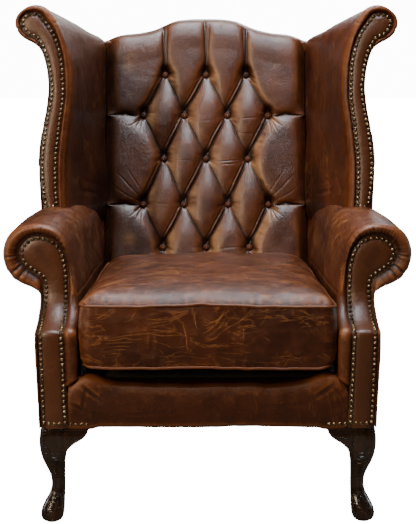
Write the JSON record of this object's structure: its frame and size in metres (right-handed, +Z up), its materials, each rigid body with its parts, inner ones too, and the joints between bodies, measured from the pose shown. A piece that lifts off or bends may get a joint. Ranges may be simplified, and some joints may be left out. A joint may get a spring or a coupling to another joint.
{
  "type": "queen anne wing armchair",
  "caption": "High-back wing armchair in antique brown leather with a buttoned back, scrolled arms and wings, a loose seat cushion and cabriole front legs.",
  "frame": {"origin": "on the floor, at the centre of the chair's plan bounding box", "axes": "+Z up, -Y the front of the chair, +X to the right seen from the front"},
  "size_m": [0.86, 0.844, 1.08],
  "materials": {
    "leather_back": "satin",
    "leather_seat": "satin",
    "leather_front": "satin",
    "leather_arms": "satin",
    "leather_wings": "satin",
    "leather_outside": "satin",
    "antique_brass": "satin",
    "mahogany": "gloss",
    "frame_hardwood": "matte",
    "steel": "satin",
    "glide_plastic": "matte",
    "foam": "matte",
    "hessian": "matte",
    "black_cambric": "matte",
    "zip_tape": "matte"
  },
  "bodies": {
    "chair": {"back_buttons": "leather_back", "back_padding": "foam", "back_seat_rail": "frame_hardwood", "back_tack_rail": "frame_hardwood", "back_top_rail": "frame_hardwood", "back_webbing": "hessian", "corner_blocks": "frame_hardwood", "dust_cover": "black_cambric", "foot_glides": "glide_plastic", "frame_screws": "steel", "front_border": "leather_front", "front_seat_rail": "frame_hardwood", "inside_back_cover": "leather_back", "knee_brackets": "mahogany", "left_arm_facing": "leather_arms", "left_arm_nails": "antique_brass", "left_arm_padding": "foam", "left_arm_post": "frame_hardwood", "left_arm_rail": "frame_hardwood", "left_back_leg": "mahogany", "left_back_post": "frame_hardwood", "left_front_leg": "mahogany", "left_inside_arm_cover": "leather_arms", "left_inside_wing_cover": "leather_wings", "left_outside_arm_cover": "leather_outside", "left_outside_wing_cover": "leather_outside", "left_seat_rail": "frame_hardwood", "left_wing_facing": "leather_wings", "left_wing_nails": "antique_brass", "left_wing_padding": "foam", "left_wing_post": "frame_hardwood", "left_wing_rail": "frame_hardwood", "leg_bolts": "steel", "outside_back_cover": "leather_outside", "right_arm_facing": "leather_arms", "right_arm_nails": "antique_brass", "right_arm_padding": "foam", "right_arm_post": "frame_hardwood", "right_arm_rail": "frame_hardwood", "right_back_leg": "mahogany", "right_back_post": "frame_hardwood", "right_front_leg": "mahogany", "right_inside_arm_cover": "leather_arms", "right_inside_wing_cover": "leather_wings", "right_outside_arm_cover": "leather_outside", "right_outside_wing_cover": "leather_outside", "right_seat_rail": "frame_hardwood", "right_wing_facing": "leather_wings", "right_wing_nails": "antique_brass", "right_wing_padding": "foam", "right_wing_post": "frame_hardwood", "right_wing_rail": "frame_hardwood", "seat_deck": "hessian", "seat_springs": "steel", "spring_clips": "steel"},
    "seat_cushion": {"seat_cushion_core": "foam", "seat_cushion_cover": "leather_seat", "seat_cushion_piping": "leather_seat", "cushion_zip": "zip_tape"}
  },
  "joints": [
    {"name": "cushion_lift", "type": "slide", "parent": "chair", "child": "seat_cushion", "axis": [0, -0.6, 0.8], "range_m": [0, 0.65]}
  ]
}
